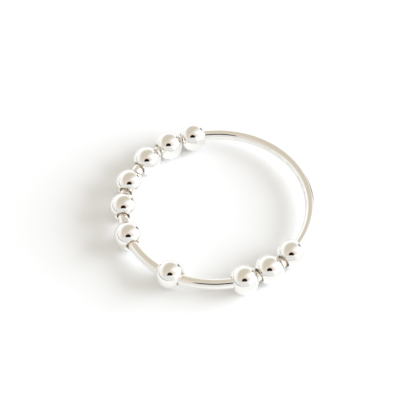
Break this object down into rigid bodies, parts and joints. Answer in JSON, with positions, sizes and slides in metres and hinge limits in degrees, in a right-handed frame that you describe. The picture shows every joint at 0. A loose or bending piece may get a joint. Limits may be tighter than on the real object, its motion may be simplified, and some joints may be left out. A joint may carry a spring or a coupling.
{
  "type": "beaded ring",
  "caption": "Finger ring of polished round silver wire with loose, drilled round beads that slide along it. It lies flat on its beads.",
  "frame": {"origin": "centre of the ring, in the mid-plane of its wire", "axes": "+Z along the finger hole, up from the surface that the ring lies on; +X towards the bare side of the wire, near its flat"},
  "size_m": [0.0214, 0.0217, 0.003],
  "materials": {
    "wire_silver": "drawn wire, polished",
    "bead_silver": "mirror polished"
  },
  "bodies": {
    "band": {"band": "wire_silver"},
    "bead_1": {"bead_1": "bead_silver"},
    "bead_2": {"bead_2": "bead_silver"},
    "bead_3": {"bead_3": "bead_silver"},
    "bead_4": {"bead_4": "bead_silver"},
    "bead_5": {"bead_5": "bead_silver"},
    "bead_6": {"bead_6": "bead_silver"},
    "bead_7": {"bead_7": "bead_silver"},
    "bead_8": {"bead_8": "bead_silver"},
    "bead_9": {"bead_9": "bead_silver"},
    "bead_10": {"bead_10": "bead_silver"}
  },
  "joints": [
    {"name": "bead_7_round_band", "type": "hinge", "parent": "band", "child": "bead_7", "pos_m": [0, 0, 0], "axis": [0, 0, 1], "continuous": true},
    {"name": "bead_6_from_bead_7", "type": "hinge", "parent": "bead_7", "child": "bead_6", "pos_m": [0, 0, 0], "axis": [0, 0, 1], "range_deg": [-14, 22.55]},
    {"name": "bead_5_from_bead_6", "type": "hinge", "parent": "bead_6", "child": "bead_5", "pos_m": [0, 0, 0], "axis": [0, 0, 1], "range_deg": [-14, 6]},
    {"name": "bead_4_from_bead_5", "type": "hinge", "parent": "bead_5", "child": "bead_4", "pos_m": [0, 0, 0], "axis": [0, 0, 1], "range_deg": [-14, 2.2]},
    {"name": "bead_3_from_bead_4", "type": "hinge", "parent": "bead_4", "child": "bead_3", "pos_m": [0, 0, 0], "axis": [0, 0, 1], "range_deg": [-14, 4.4]},
    {"name": "bead_2_from_bead_3", "type": "hinge", "parent": "bead_3", "child": "bead_2", "pos_m": [0, 0, 0], "axis": [0, 0, 1], "range_deg": [-14, 2]},
    {"name": "bead_1_from_bead_2", "type": "hinge", "parent": "bead_2", "child": "bead_1", "pos_m": [0, 0, 0], "axis": [0, 0, 1], "range_deg": [-14, 0.25]},
    {"name": "bead_8_from_bead_7", "type": "hinge", "parent": "bead_7", "child": "bead_8", "pos_m": [0, 0, 0], "axis": [0, 0, 1], "range_deg": [-29, 14]},
    {"name": "bead_9_from_bead_8", "type": "hinge", "parent": "bead_8", "child": "bead_9", "pos_m": [0, 0, 0], "axis": [0, 0, 1], "range_deg": [-0.1, 14]},
    {"name": "bead_10_from_bead_9", "type": "hinge", "parent": "bead_9", "child": "bead_10", "pos_m": [0, 0, 0], "axis": [0, 0, 1], "range_deg": [-0.95, 14]}
  ]
}
